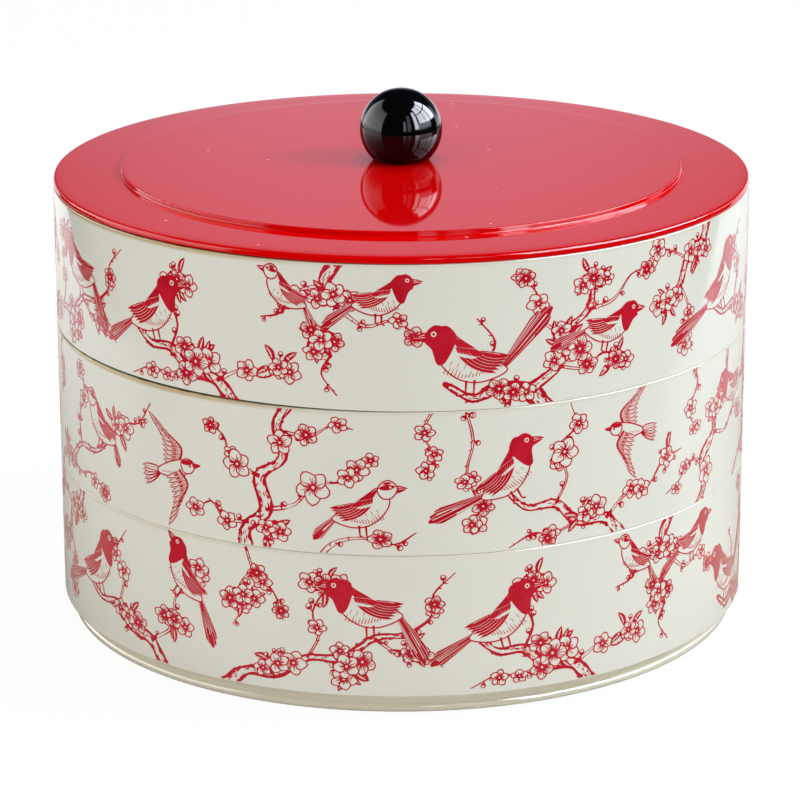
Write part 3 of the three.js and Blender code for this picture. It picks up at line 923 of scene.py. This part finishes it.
def outer_tiers(d):
    """The sheet for the bottom and top trays, 371 mm long: eight birds among heavy boughs."""
    twig(d, [14 + 47.9j, 17 + 40j, 24 + 33j, 27 + 24j], 1.3, 5, 3)
    twig(d, [17 + 40j, 12 + 34j, 13 + 27j, 9 + 20j], 1.1, 4, 2)
    bough(d, [5 - 2j, 14 + 5j, 25 + 6j, 35 + 12j, 47 + 13j, 57 + 20j, 67 + 21j], 4.4, 2)
    twig(d, [35 + 12j, 39 + 20j, 37 + 28j, 42 + 37j], 1.1, 5, 1)
    twig(d, [57 + 20j, 66 + 14j, 72 + 15j, 79 + 10j], 1.1, 4, 1)
    twig(d, [67 + 21j, 75 + 27j, 76 + 35j, 83 + 42j], 1, 5, 2, 6)
    cluster(d, 25 + 9j, 3, 4.4)
    cluster(d, 48 + 10j, 4, 4.5, 0.5)
    cluster(d, 41 + 38j, 3, 4, 0.6)
    cluster(d, 13 + 31j, 3, 4.2, 0.4)
    cluster(d, 69 + 15j, 2, 3.8, 0.6)
    perched(d, 56 + 20.3j, 17.1, 8, True, 6, 34, 1.1)
    bough(d, [131 - 2j, 124 + 6j, 113 + 8j, 106 + 14j, 97 + 14j, 91 + 19j], 5.7, 2.3)
    twig(d, [113 + 8j, 104 + 5j, 97 + 6j, 88 + 2j], 1.2, 4, 2)
    twig(d, [106 + 14j, 109 + 22j, 106 + 30j, 108 + 41j], 1, 4, 0, 5)
    twig(d, [124 + 6j, 134 + 11j, 141 + 9j, 149 + 14j], 1.3, 4, 2)
    cluster(d, 116 + 11j, 4, 5, 0.4)
    cluster(d, 109 + 37j, 3, 4.3, 0.5)
    cluster(d, 146 + 13j, 2, 4.1)
    perched(d, 100 + 15j, 17.7, 10, False, -6, -12, 0.95)
    bough(d, [166 + 50j, 161 + 41j, 166 + 33j, 160 + 25j, 163 + 18j], 4.7, 1.6)
    twig(d, [161 + 41j, 152 + 38j, 147 + 31j, 140 + 29j], 1.3, 5, 2)
    twig(d, [166 + 33j, 174 + 28j, 183 + 30j, 190 + 25j], 1.4, 4, 2)
    twig(d, [163 + 18j, 160 + 12j, 165 + 5j], 0.8, 4)
    cluster(d, 164 + 38j, 3, 4.5)
    cluster(d, 160 + 23j, 4, 4.4, 0.6)
    perched(d, 147 + 31j, 11.8, -12, True, 0, 20, 0.62, False)
    perched(d, 178 + 29j, 13.6, -6, False, 4, 6, 0.95)
    bough(d, [233 - 2j, 226 + 5j, 216 + 7j, 208 + 4j, 199 + 9j], 6, 2.1)
    bough(d, [226 + 5j, 236 + 12j, 238 + 22j, 247 + 29j, 249 + 38j], 4.4, 2.1)
    twig(d, [216 + 7j, 212 + 14j, 215 + 22j, 209 + 30j], 1, 4, 1, 6)
    twig(d, [238 + 22j, 230 + 28j, 229 + 36j, 223 + 43j], 1.2, 5, 3)
    twig(d, [247 + 29j, 257 + 31j, 264 + 38j, 272 + 39j], 1.2, 5, 2)
    twig(d, [236 + 12j, 246 + 10j, 253 + 14j, 261 + 11j], 1.4, 4, 1)
    cluster(d, 239 + 18j, 4, 4.7, 0.4)
    cluster(d, 221 + 5j, 3, 4.3, 0.6)
    cluster(d, 249 + 39j, 3, 4.3)
    cluster(d, 258 + 11j, 2, 4)
    perched(d, 207 + 5.6j, 18.9, 2, True, -4, -82, 1.3)
    perched(d, 253 + 14.6j, 14.2, -18, False, 10, 0, 1.0)
    bough(d, [303 + 50j, 300 + 42j, 291 + 38j, 287 + 30j, 279 + 25j], 4.9, 1.8)
    twig(d, [291 + 38j, 283 + 42j, 277 + 44j], 1.1, 4, 1)
    twig(d, [287 + 30j, 292 + 22j, 289 + 14j, 295 + 6j], 1.2, 6, 3)
    cluster(d, 298 + 40j, 3, 4.4, 0.4)
    cluster(d, 281 + 26j, 3, 4.1)
    bough(d, [352 - 2j, 345 + 7j, 335 + 9j, 328 + 15j, 317 + 14j, 309 + 18j], 5.7, 2.2)
    twig(d, [328 + 15j, 331 + 24j, 327 + 33j, 333 + 42j], 1.1, 6, 2)
    twig(d, [345 + 7j, 355 + 14j, 357 + 25j, 366 + 31j, 368 + 41j], 1.6, 6, 4, 6)
    cluster(d, 333 + 12j, 3, 4.7, 0.5)
    cluster(d, 356 + 17j, 3, 4.3)
    perched(d, 317 + 15j, 18.3, 14, False, -8, -28, 1.3)
    perched(d, 357 + 26j, 14.8, -30, True, 12, 6, 1.15)


def middle_tier(d):
    """The sheet for the middle tray: fewer, paler birds, one of them flying, and hanging sprays."""
    twig(d, [10 + 50j, 14 + 40j, 11 + 30j, 15 + 20j, 13 + 12j], 1.1, 7, 4, 7)
    twig(d, [30 + 50j, 27 + 42j, 31 + 34j, 28 + 27j], 1, 5, 2)
    bough(d, [22 - 2j, 30 + 7j, 42 + 9j, 52 + 16j, 64 + 17j, 74 + 24j], 3.4, 1.6, 1.15)
    twig(d, [42 + 9j, 51 + 6j, 60 + 8j, 70 + 4j], 1.1, 5, 2)
    twig(d, [74 + 24j, 81 + 31j, 90 + 33j, 96 + 41j], 1, 6, 1, 6)
    twig(d, [52 + 16j, 51 + 26j, 56 + 34j, 53 + 43j], 1, 6, 3)
    cluster(d, 36 + 9j, 2, 4.5, 0)
    cluster(d, 78 + 29j, 2, 4.3, 0)
    perched(d, 67 + 19j, 14.8, -8, True, 8, 26, 0.6, False)
    flying(d, 106 + 21j, 15, 14)
    bough(d, [150 + 50j, 145 + 42j, 147 + 31j, 139 + 24j, 141 + 13j, 134 + 6j, 134 - 2j], 3.1, 4.9, 1.15)
    twig(d, [139 + 24j, 129 + 28j, 126 + 36j, 118 + 40j], 1.3, 6, 2)
    twig(d, [141 + 13j, 151 + 16j, 157 + 23j, 168 + 25j, 175 + 33j], 1.6, 6, 3, 6)
    twig(d, [135 + 8j, 126 + 8j, 121 + 13j, 114 + 8j], 1.2, 5, 2)
    twig(d, [146 + 40j, 156 + 39j, 163 + 43j, 170 + 42j], 1.2, 5, 2)
    blossom(d, 157 + 22j, 5.7)
    blossom(d, 131 + 27j, 4.9)
    blossom(d, 146 + 36j, 4.3)
    cluster(d, 141 + 7j, 2, 4.3, 0)
    perched(d, 173 + 6.6j, 15.3, 0, False, 0, 10, 0.7, False)
    twig(d, [158 - 2j, 164 + 4j, 173 + 6j, 183 + 4j, 190 + 8j], 1.8, 4, 1, 6)
    twig(d, [196 + 50j, 192 + 41j, 196 + 33j, 193 + 26j], 1.1, 6, 3, 6)
    twig(d, [205 + 50j, 208 + 38j, 206 + 27j, 210 + 16j, 208 + 8j], 1.2, 8, 5, 8)
    bough(d, [262 - 2j, 255 + 6j, 244 + 7j, 236 + 14j, 226 + 14j, 219 + 20j], 4.4, 1.8, 1.15)
    twig(d, [236 + 14j, 240 + 23j, 236 + 32j, 243 + 39j, 241 + 47j], 1.2, 6, 3, 6)
    twig(d, [244 + 7j, 235 + 4j, 228 + 5j, 220 + 1j], 1.1, 4, 2)
    twig(d, [255 + 6j, 264 + 13j, 273 + 13j, 280 + 20j, 290 + 22j], 1.4, 5, 2, 6)
    blossom(d, 239 + 31j, 5.1)
    cluster(d, 247 + 9j, 2, 4.5, 0)
    cluster(d, 282 + 21j, 1, 4.5, 0)
    perched(d, 223 + 17j, 16.5, 22, False, -16, -34, 1.2)
    flying(d, 264 + 34j, 13.2, -10, True)
    twig(d, [296 + 50j, 299 + 42j, 294 + 34j, 298 + 27j], 1.1, 6, 3)
    bough(d, [300 - 2j, 305 + 6j, 303 + 15j, 311 + 22j, 313 + 32j, 321 + 38j, 323 + 50j], 4.7, 2.3, 1.15)
    twig(d, [311 + 22j, 322 + 20j, 329 + 25j, 338 + 23j], 1.4, 5, 2)
    twig(d, [303 + 15j, 294 + 16j, 289 + 11j, 282 + 8j], 1.1, 5, 2)
    cluster(d, 313 + 30j, 3, 4.3, 0.2)
    blossom(d, 306 + 10j, 4.9)
    perched(d, 331 + 25.2j, 15.3, 16, True, -10, -22, 1.15)
    twig(d, [350 + 50j, 347 + 39j, 352 + 30j, 348 + 20j, 351 + 11j], 1.2, 8, 5, 8)
    twig(d, [352 + 30j, 361 + 27j, 364 + 20j, 371 + 18j], 1, 5, 2)
    twig(d, [330 - 2j, 337 + 5j, 346 + 6j, 355 + 3j], 1.4, 4, 2)


# ---- Print


class Sheet:
    """A drawing cut to its sheet, which repeats after its width and keeps clear of the wall's edges."""

    CELL = 1.5  # side of the squares that shapes are listed in, to find those over a point
    MARGIN = 0.45  # bare wall above and below the sheet
    CLOSE = 1e-5  # corners nearer than this are one

    def __init__(self, drawing, width, height):
        self.width, self.low, self.high = width, self.MARGIN, height - self.MARGIN
        self.shapes, self.cells = [], {}
        for outline, ink in drawing.shapes:
            reach = [p.real for p in outline]
            for shift in (-width, 0, width):
                if max(reach) + shift > 0 and min(reach) + shift < width:
                    self.add([(p.real + shift, p.imag) for p in outline], ink)

    def add(self, outline, ink):
        """Lists a shape in every cell that its box reaches."""
        across, up = [x for x, _ in outline], [y for _, y in outline]
        box = (min(across), max(across), min(up), max(up))
        for i in range(int(box[0] // self.CELL), int(box[1] // self.CELL) + 1):
            for j in range(int(box[2] // self.CELL), int(box[3] // self.CELL) + 1):
                self.cells.setdefault((i, j), []).append(len(self.shapes))
        self.shapes.append((outline, box, ink))

    def inked(self, x, y):
        """Whether the uppermost shape over a point is ink."""
        for k in reversed(self.cells.get((int(x // self.CELL), int(y // self.CELL)), ())):
            outline, box, ink = self.shapes[k]
            if box[0] < x < box[1] and box[2] < y < box[3]:
                within, (x1, y1) = False, outline[-1]
                for x2, y2 in outline:
                    if (y1 > y) != (y2 > y) and x < (x2 - x1) * (y - y1) / (y2 - y1) + x1:
                        within = not within
                    x1, y1 = x2, y2
                if within:
                    return ink
        return False

    def cut(self, corners, edges):
        """Triangles between the edges, those of ink alone."""
        points, _, faces, _, _, _ = delaunay_2d_cdt([Vector(c) for c in corners], edges, [], 0, self.CLOSE)
        kept = []
        for face in faces:
            x, y = (sum(points[k][axis] for k in face) / 3 for axis in (0, 1))
            if 0 < x < self.width and self.low < y < self.high and self.inked(x, y):
                kept.append(face)
        return points, kept

    def triangles(self, step):
        """Flat triangles of ink, none wider than step. The first cut is by every outline, and the second
        by the ink's edge alone."""
        corners, edges = [], []
        border = [(0, self.low), (self.width, self.low), (self.width, self.high), (0, self.high)]
        for outline in [*(shape[0] for shape in self.shapes), border]:
            start, count = len(corners), len(outline)
            corners += outline
            edges += [(start + k, start + (k + 1) % count) for k in range(count)]
        points, faces = self.cut(corners, edges)
        sides = {}
        for face in faces:
            for k in range(3):
                side = (min(face[k - 1], face[k]), max(face[k - 1], face[k]))
                sides[side] = sides.get(side, 0) + 1
        edges = [side for side, count in sides.items() if count == 1]
        corners = [tuple(p) for p in points]
        columns = math.ceil(self.width / step)
        for k in range(columns + 1):
            edges.append((len(corners), len(corners) + 1))
            corners += [(self.width * k / columns, self.low), (self.width * k / columns, self.high)]
        used = sorted({k for edge in edges for k in edge})
        place = {k: n for n, k in enumerate(used)}
        return self.cut([corners[k] for k in used], [(place[a], place[b]) for a, b in edges])


def flat_sheet(name, draw, seed, width, height, step):
    """A mesh of the drawing's ink, flat, in metres: x along the wall and y up it."""
    d = Drawing(seed)
    draw(d)
    points, kept = Sheet(d, width / MM, height / MM).triangles(step / MM)
    work = bmesh.new()
    corners = {k: work.verts.new((points[k].x * MM, points[k].y * MM, 0)) for face in kept for k in face}
    for face in kept:
        work.faces.new([corners[k] for k in face])
    return finished(name, work)


def wrap_tree():
    """Geometry nodes that wrap a flat sheet round the wall and give the ink its thickness."""
    work = Group("wrapped_print", "Print", Sheet="Geometry", Wall_Radius="Float", Film="Float", Turn="Float",
                 Foot="Float", Ink="Material")
    sheet = work.node("NodeGroupInput", output="Sheet")
    radius, film = sheet.output("Wall Radius"), sheet.output("Film")
    raised = work.node("GeometryNodeExtrudeMesh", {"mode": "FACES"},
                       {"Mesh": sheet, "Offset Scale": film, "Individual": False})
    under = work.node("GeometryNodeFlipFaces", None, {"Mesh": sheet})
    both = work.node("GeometryNodeJoinGeometry", None, {"Geometry": raised})
    work.feed(both.socket.node, {"Geometry": under})
    closed = work.node("GeometryNodeMergeByDistance", None, {"Geometry": both, "Distance": FILM_WELD})
    along = work.axis(work.node("GeometryNodeInputPosition"))
    bearing = along / radius + sheet.output("Turn")
    out = radius + along.output("Z") - 0.1 * film
    height = along.output("Y") + sheet.output("Foot")
    place = work.node("ShaderNodeCombineXYZ", None,
                      {"X": out * bearing.cosine(), "Y": out * bearing.sine(), "Z": height})
    bent = work.node("GeometryNodeSetPosition", None, {"Geometry": closed, "Position": place})
    return work.close(bent, sheet.output("Ink"))


# ---- Stage

DEGREES = 57.3  # in a radian, as the sky's spans were set with it
WHITE = (1, 1, 1, 1)
FLOOR = 1.3  # half a side
LAMP_AIM = (0, 0, 0.1)


def bare_tree(owner):
    """The emptied node tree of a material or a world."""
    owner.use_nodes = True
    owner.node_tree.nodes.clear()
    return Tree(owner.node_tree)


def floor_material():
    """White paper to the camera, with a faint shadow kept. In gloss it shows painted light: a pool where the
    window's light falls on it.
    """
    material = bpy.data.materials.new("floor_paper")
    tree = bare_tree(material)
    place = tree.node("ShaderNodeTexCoord", output="Object")
    across = tree.axis(place)
    depth = across.output("Y")
    # Painted light, seen only in gloss: a pool of window light with a soft edge, brighter to the right and
    # further out, a little brighter near the box, and cooler far to the sides.
    near = 1 - from_axis(across, depth).ramp(0.15, 0.30)
    right = across.ramp(-0.1, 0.1)
    sheet = across.band(-0.47, 0.44 + depth * 0.4, 0.008) * depth.ramp(-0.10, 0.0)
    slope = abs(across) * (1.35 - 0.4 * right) + depth * (1.3 - 0.6 * right)
    lit = sheet * (0.3 * right + slope) + near * 0.12 + 0.02
    cool = tree.mixed(abs(across).ramp(0.12, 0.42), (1.0, 0.94, 0.84), (0.94, 0.97, 1.0))
    rays = tree.node("ShaderNodeLightPath", output="Is Camera Ray")
    gloss = rays.output("Is Glossy Ray")
    tone = tree.mixed(tree.noise(place, 40.0), (0.90, 0.90, 0.895), (0.93, 0.93, 0.925))
    paper = tree.node("ShaderNodeBsdfDiffuse", None, {"Color": tone})
    shine = tree.node("ShaderNodeEmission", None, {"Color": tree.mixed(gloss, (1, 1, 1), cool),
                                                   "Strength": 1 - gloss + gloss * lit})
    seen = rays * 0.95 + gloss + rays.output("Is Transmission Ray") * 0.97
    mixed = tree.node("ShaderNodeMixShader", None, {0: seen, 1: paper, 2: shine})
    tree.node("ShaderNodeOutputMaterial", None, {"Surface": mixed})
    return material


def studio_world(settings):
    """An even sky for matt surfaces and white for the camera. Gloss sees a white backdrop, a pale panel on the
    left, a window with bars on the right, strips towards the front, and a dark room elsewhere. turn is the
    bearing in degrees, 0 behind the box and 90 to its right, and rise the height over the horizon."""
    world = bpy.data.worlds.new("studio")
    bpy.context.scene.world = world
    tree = bare_tree(world)
    rays = tree.node("ShaderNodeLightPath", output="Is Camera Ray")
    across = tree.axis(tree.node("ShaderNodeTexCoord", output="Generated"))
    turn = across.arctan2(across.output("Y")) * DEGREES
    rise = across.output("Z").arcsine() * DEGREES
    low = (1 - rise.ramp(-1.0, 10.0)) * (0.45 + 0.5 * abs(turn).ramp(4.0, 20.0) + 1.1 * turn.ramp(5.0, 35.0))
    behind = 0.53 * (1 - rise.ramp(17.0, 25.0)) * (1 - 0.75 * abs(turn).ramp(1.0, 13.0))
    backdrop = turn.band(-50.0, 50.0, 2.0) * (low + behind)
    panel = 4.2 * turn.band(-123.0, -44.0, 3.0) * rise.band(-60.0, 47.0, 3.0)
    panel = panel * (0.5 + 0.5 * rise.ramp(-3.0, 2.0)) * (1 - 0.4 * rise.ramp(15.0, 45.0))
    bars = turn.band(79.0, 82.0, 0.8) + turn.band(98.0, 100.0, 0.6) + rise.band(41.0, 43.5, 0.8)
    panes = turn.band(60.0, 122.0, 1.5) * rise.band(13.0 + (turn - 60.0) * 0.12, 60.0, 1.5) * (1 - bars * 0.85)
    glow = backdrop * 1.2 + settings.window_glow * panes + panel
    # Each strip: its brightness, its span and softness in turn, and the same in rise.
    for strip, turns, rises in ((2.4, (48.0, 60.0, 3.0), (-5.0, 26.0, 4.0)),
                                (4.5, (166.0, 173.0, 1.0), (5.0, 30.0, 4.0)),
                                (24.0, (128.0, 139.0, 2.0), (7.0, 52.0, 3.0)),
                                (6.0, (84.0, 128.0, 3.0), (6.0, 22.0, 5.0)),
                                (2.4, (151.0, 161.0, 3.0), (5.0, 46.0, 5.0))):
        glow = glow + strip * turn.band(*turns) * rise.band(*rises)
    cool = tree.mixed(turn.ramp(50.0, 58.0), (0.857, 0.81, 1.0), (0.86, 0.88, 1.0))
    cool = tree.mixed(turn.ramp(-50.0, -42.0), (0.93, 0.91, 0.93), cool)
    gloss, sky, white = (tree.node("ShaderNodeBackground", None, {"Color": tone, "Strength": strength})
                         for tone, strength in ((cool, glow), (WHITE, settings.ambient), (WHITE, 1.0)))
    lit = tree.node("ShaderNodeMixShader", None, {0: rays.output("Is Glossy Ray"), 1: sky, 2: gloss})
    seen = rays + rays.output("Is Transmission Ray")
    mixed = tree.node("ShaderNodeMixShader", None, {0: seen, 1: lit, 2: white})
    tree.node("ShaderNodeOutputWorld", None, {"Surface": mixed})


def area_light(name, size, power, at, tone=(1, 1, 1)):
    """A soft square of light that the camera and gloss don't see, turned to the box."""
    data = bpy.data.lights.new(name, "AREA")
    data.shape, data.size, data.size_y = "RECTANGLE", size, size
    data.energy, data.color = power, tone
    lamp = placed(name, data)
    lamp.location = at
    lamp.rotation_euler = (Vector(LAMP_AIM) - Vector(at)).to_track_quat("-Z", "Y").to_euler()
    lamp.visible_camera = lamp.visible_glossy = False


def camera(settings):
    """The photograph's camera."""
    data = bpy.data.cameras.new("camera")
    data.sensor_width, data.lens, data.shift_x = 36.0, settings.lens, -0.002
    data.clip_start, data.clip_end = 0.05, 50.0
    view = placed("camera", data)
    elevation, distance = settings.camera_elevation, settings.camera_distance
    aim = Vector((0, 0, settings.aim_height))
    view.location = aim + distance * Vector((0, -math.cos(elevation), math.sin(elevation)))
    tilt = Matrix.Rotation(math.pi / 2 - elevation, 3, "X") @ Matrix.Rotation(-settings.camera_roll, 3, "Z")
    view.rotation_euler = tilt.to_euler()
    bpy.context.scene.camera = view


# ---- Operators


def hand_over(piece, node, body):
    """Hides the node of the frame that a piece stands in for, and hangs the piece on the body it rides on."""
    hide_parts(node)
    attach(piece, body)


class BOX_OT_stage(bpy.types.Operator):
    """Camera, floor, sky and lamps"""

    bl_idname = "sweetmeat.stage"
    bl_label = "Stage"

    def execute(self, context):
        settings = context.scene.box_stage
        camera(settings)
        studio_world(settings)
        mesh = bpy.data.meshes.new("floor")
        corners = [(x * FLOOR, y * FLOOR, 0) for x, y in ((-1, -1), (1, -1), (1, 1), (-1, 1))]
        mesh.from_pydata(corners, [], [(0, 1, 2, 3)])
        mesh.materials.append(floor_material())
        placed("floor", mesh)
        area_light("window", 0.55, settings.key_power, (1.55, -0.2, 1.15), (0.76, 0.88, 1.0))
        area_light("panel", 1.2, settings.key_power * 0.38, (-1.45, -1.15, 0.9))
        area_light("ceiling", 1.5, settings.top_power, (0.1, 0.3, 2.0))
        context.scene.view_settings.view_transform = "Standard"
        return {"FINISHED"}


class BOX_OT_trays(bpy.types.Operator):
    """The three nesting trays"""

    bl_idname = "sweetmeat.trays"
    bl_label = "Trays"

    def execute(self, context):
        settings = context.scene.box_tray
        cream = cream_finish(settings)
        for k, tier in enumerate(TIERS):
            profile = tray_profile(settings, k * settings.tier_pitch)
            piece = shell(tier + "_tray_shell", profile, settings.segments, cream)
            if tier != "bottom":
                loosen(piece, settings, k, settings.loose * (tier == "top"))
            hand_over(piece, "tray_" + tier, tier + "_tray")
        return {"FINISHED"}


class BOX_OT_dividers(bpy.types.Operator):
    """The loose dividers"""

    bl_idname = "sweetmeat.dividers"
    bl_label = "Dividers"

    def execute(self, context):
        settings, tray = context.scene.box_divider, context.scene.box_tray
        ivory = ivory_finish(settings)
        for k, tier in enumerate(TIERS):
            piece = divider(tier + "_divider_walls", settings, k * tray.tier_pitch + tray.floor_top, ivory)
            hand_over(piece, "divider_" + tier, tier + "_divider")
        return {"FINISHED"}


class BOX_OT_lid(bpy.types.Operator):
    """The lid"""

    bl_idname = "sweetmeat.lid"
    bl_label = "Lid"

    def execute(self, context):
        tray, lid, knob = context.scene.box_tray, context.scene.box_lid, context.scene.box_knob
        piece = shell("lid_plate", lid_profile(tray, lid, knob), tray.segments, red_finish(lid))
        loosen(piece, tray, LID, 0.5 * tray.loose)
        hand_over(piece, "lid_shell", "lid")
        return {"FINISHED"}


class BOX_OT_knob(bpy.types.Operator):
    """The ball knob, and the finish of its insert, screw and washer"""

    bl_idname = "sweetmeat.knob"
    bl_label = "Knob"

    def execute(self, context):
        tray, lid, knob = context.scene.box_tray, context.scene.box_lid, context.scene.box_knob
        piece = shell("knob_ball", knob_profile(tray, lid, knob), KNOB_SEGMENTS, black_finish(knob))
        hand_over(piece, "lid_knob", "lid")
        brass = metal_finish("turned_brass", (0.58, 0.42, 0.17), 0.28)
        steel = metal_finish("plated_steel", (0.52, 0.53, 0.54), 0.24)
        for node, finish in (("knob_insert", brass), ("knob_screw", steel), ("knob_washer", steel)):
            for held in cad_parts[node].material_slots:
                held.material = finish
        return {"FINISHED"}


class BOX_OT_print(bpy.types.Operator):
    """The birds and blossom printed round the trays"""

    bl_idname = "sweetmeat.print"
    bl_label = "Print"

    def execute(self, context):
        settings, tray = context.scene.box_print, context.scene.box_tray
        width = 2 * math.pi * tray.wall_radius / settings.repeats
        facets = tray.segments * 0.8
        step = 2 * math.pi * tray.wall_radius / facets
        outer = flat_sheet("outer_sheet", outer_tiers, 7, width, tray.tier_pitch, step)
        middle = flat_sheet("middle_sheet", middle_tier, 11, width, tray.tier_pitch, step)
        tree, ink = wrap_tree(), crimson_finish(settings)
        for k, tier in enumerate(TIERS):
            sheet = middle if tier == "middle" else outer
            for repeat in range(settings.repeats):
                turn = math.pi + 2 * math.pi * repeat / settings.repeats
                piece = baked("print_%s_%d" % (tier, repeat + 1), sheet, tree, {
                    "Wall Radius": tray.wall_radius, "Film": settings.film, "Ink": ink,
                    "Turn": turn + (settings.turn if tier == "bottom" else 0.0),
                    "Foot": tray_seat(tray, k),
                })
                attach(piece, tier + "_tray")
        return {"FINISHED"}


class BOX_PT_panel(bpy.types.Panel):
    """Lists the box's pieces and their sizes"""

    bl_idname = "BOX_PT_panel"
    bl_label = "Sweetmeat Box"
    bl_space_type = "VIEW_3D"
    bl_region_type = "UI"
    bl_category = "Sweetmeat Box"

    def draw(self, context):
        for maker in MAKERS:
            self.layout.operator(maker.bl_idname)
        for group in SETTINGS:
            settings = getattr(context.scene, group)
            column = self.layout.column(heading=group)
            for name in settings.bl_rna.properties.keys():
                if name not in ("rna_type", "name"):
                    column.prop(settings, name)


SETTINGS = {
    "box_tray": TraySettings, "box_divider": DividerSettings, "box_lid": LidSettings,
    "box_knob": KnobSettings, "box_print": PrintSettings, "box_stage": StageSettings,
}
MAKERS = (BOX_OT_stage, BOX_OT_trays, BOX_OT_dividers, BOX_OT_lid, BOX_OT_knob, BOX_OT_print)
CLASSES = (*SETTINGS.values(), *MAKERS, BOX_PT_panel)


def register():
    for item in CLASSES:
        bpy.utils.register_class(item)
    for name, group in SETTINGS.items():
        setattr(bpy.types.Scene, name, PointerProperty(type=group))


def unregister():
    for name in SETTINGS:
        delattr(bpy.types.Scene, name)
    for item in reversed(CLASSES):
        bpy.utils.unregister_class(item)


def main():
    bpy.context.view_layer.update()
    register()
    bpy.ops.sweetmeat.stage()
    bpy.ops.sweetmeat.trays()
    bpy.ops.sweetmeat.dividers()
    bpy.ops.sweetmeat.lid()
    bpy.ops.sweetmeat.knob()
    bpy.ops.sweetmeat.print()


if __name__ == "__main__":
    main()
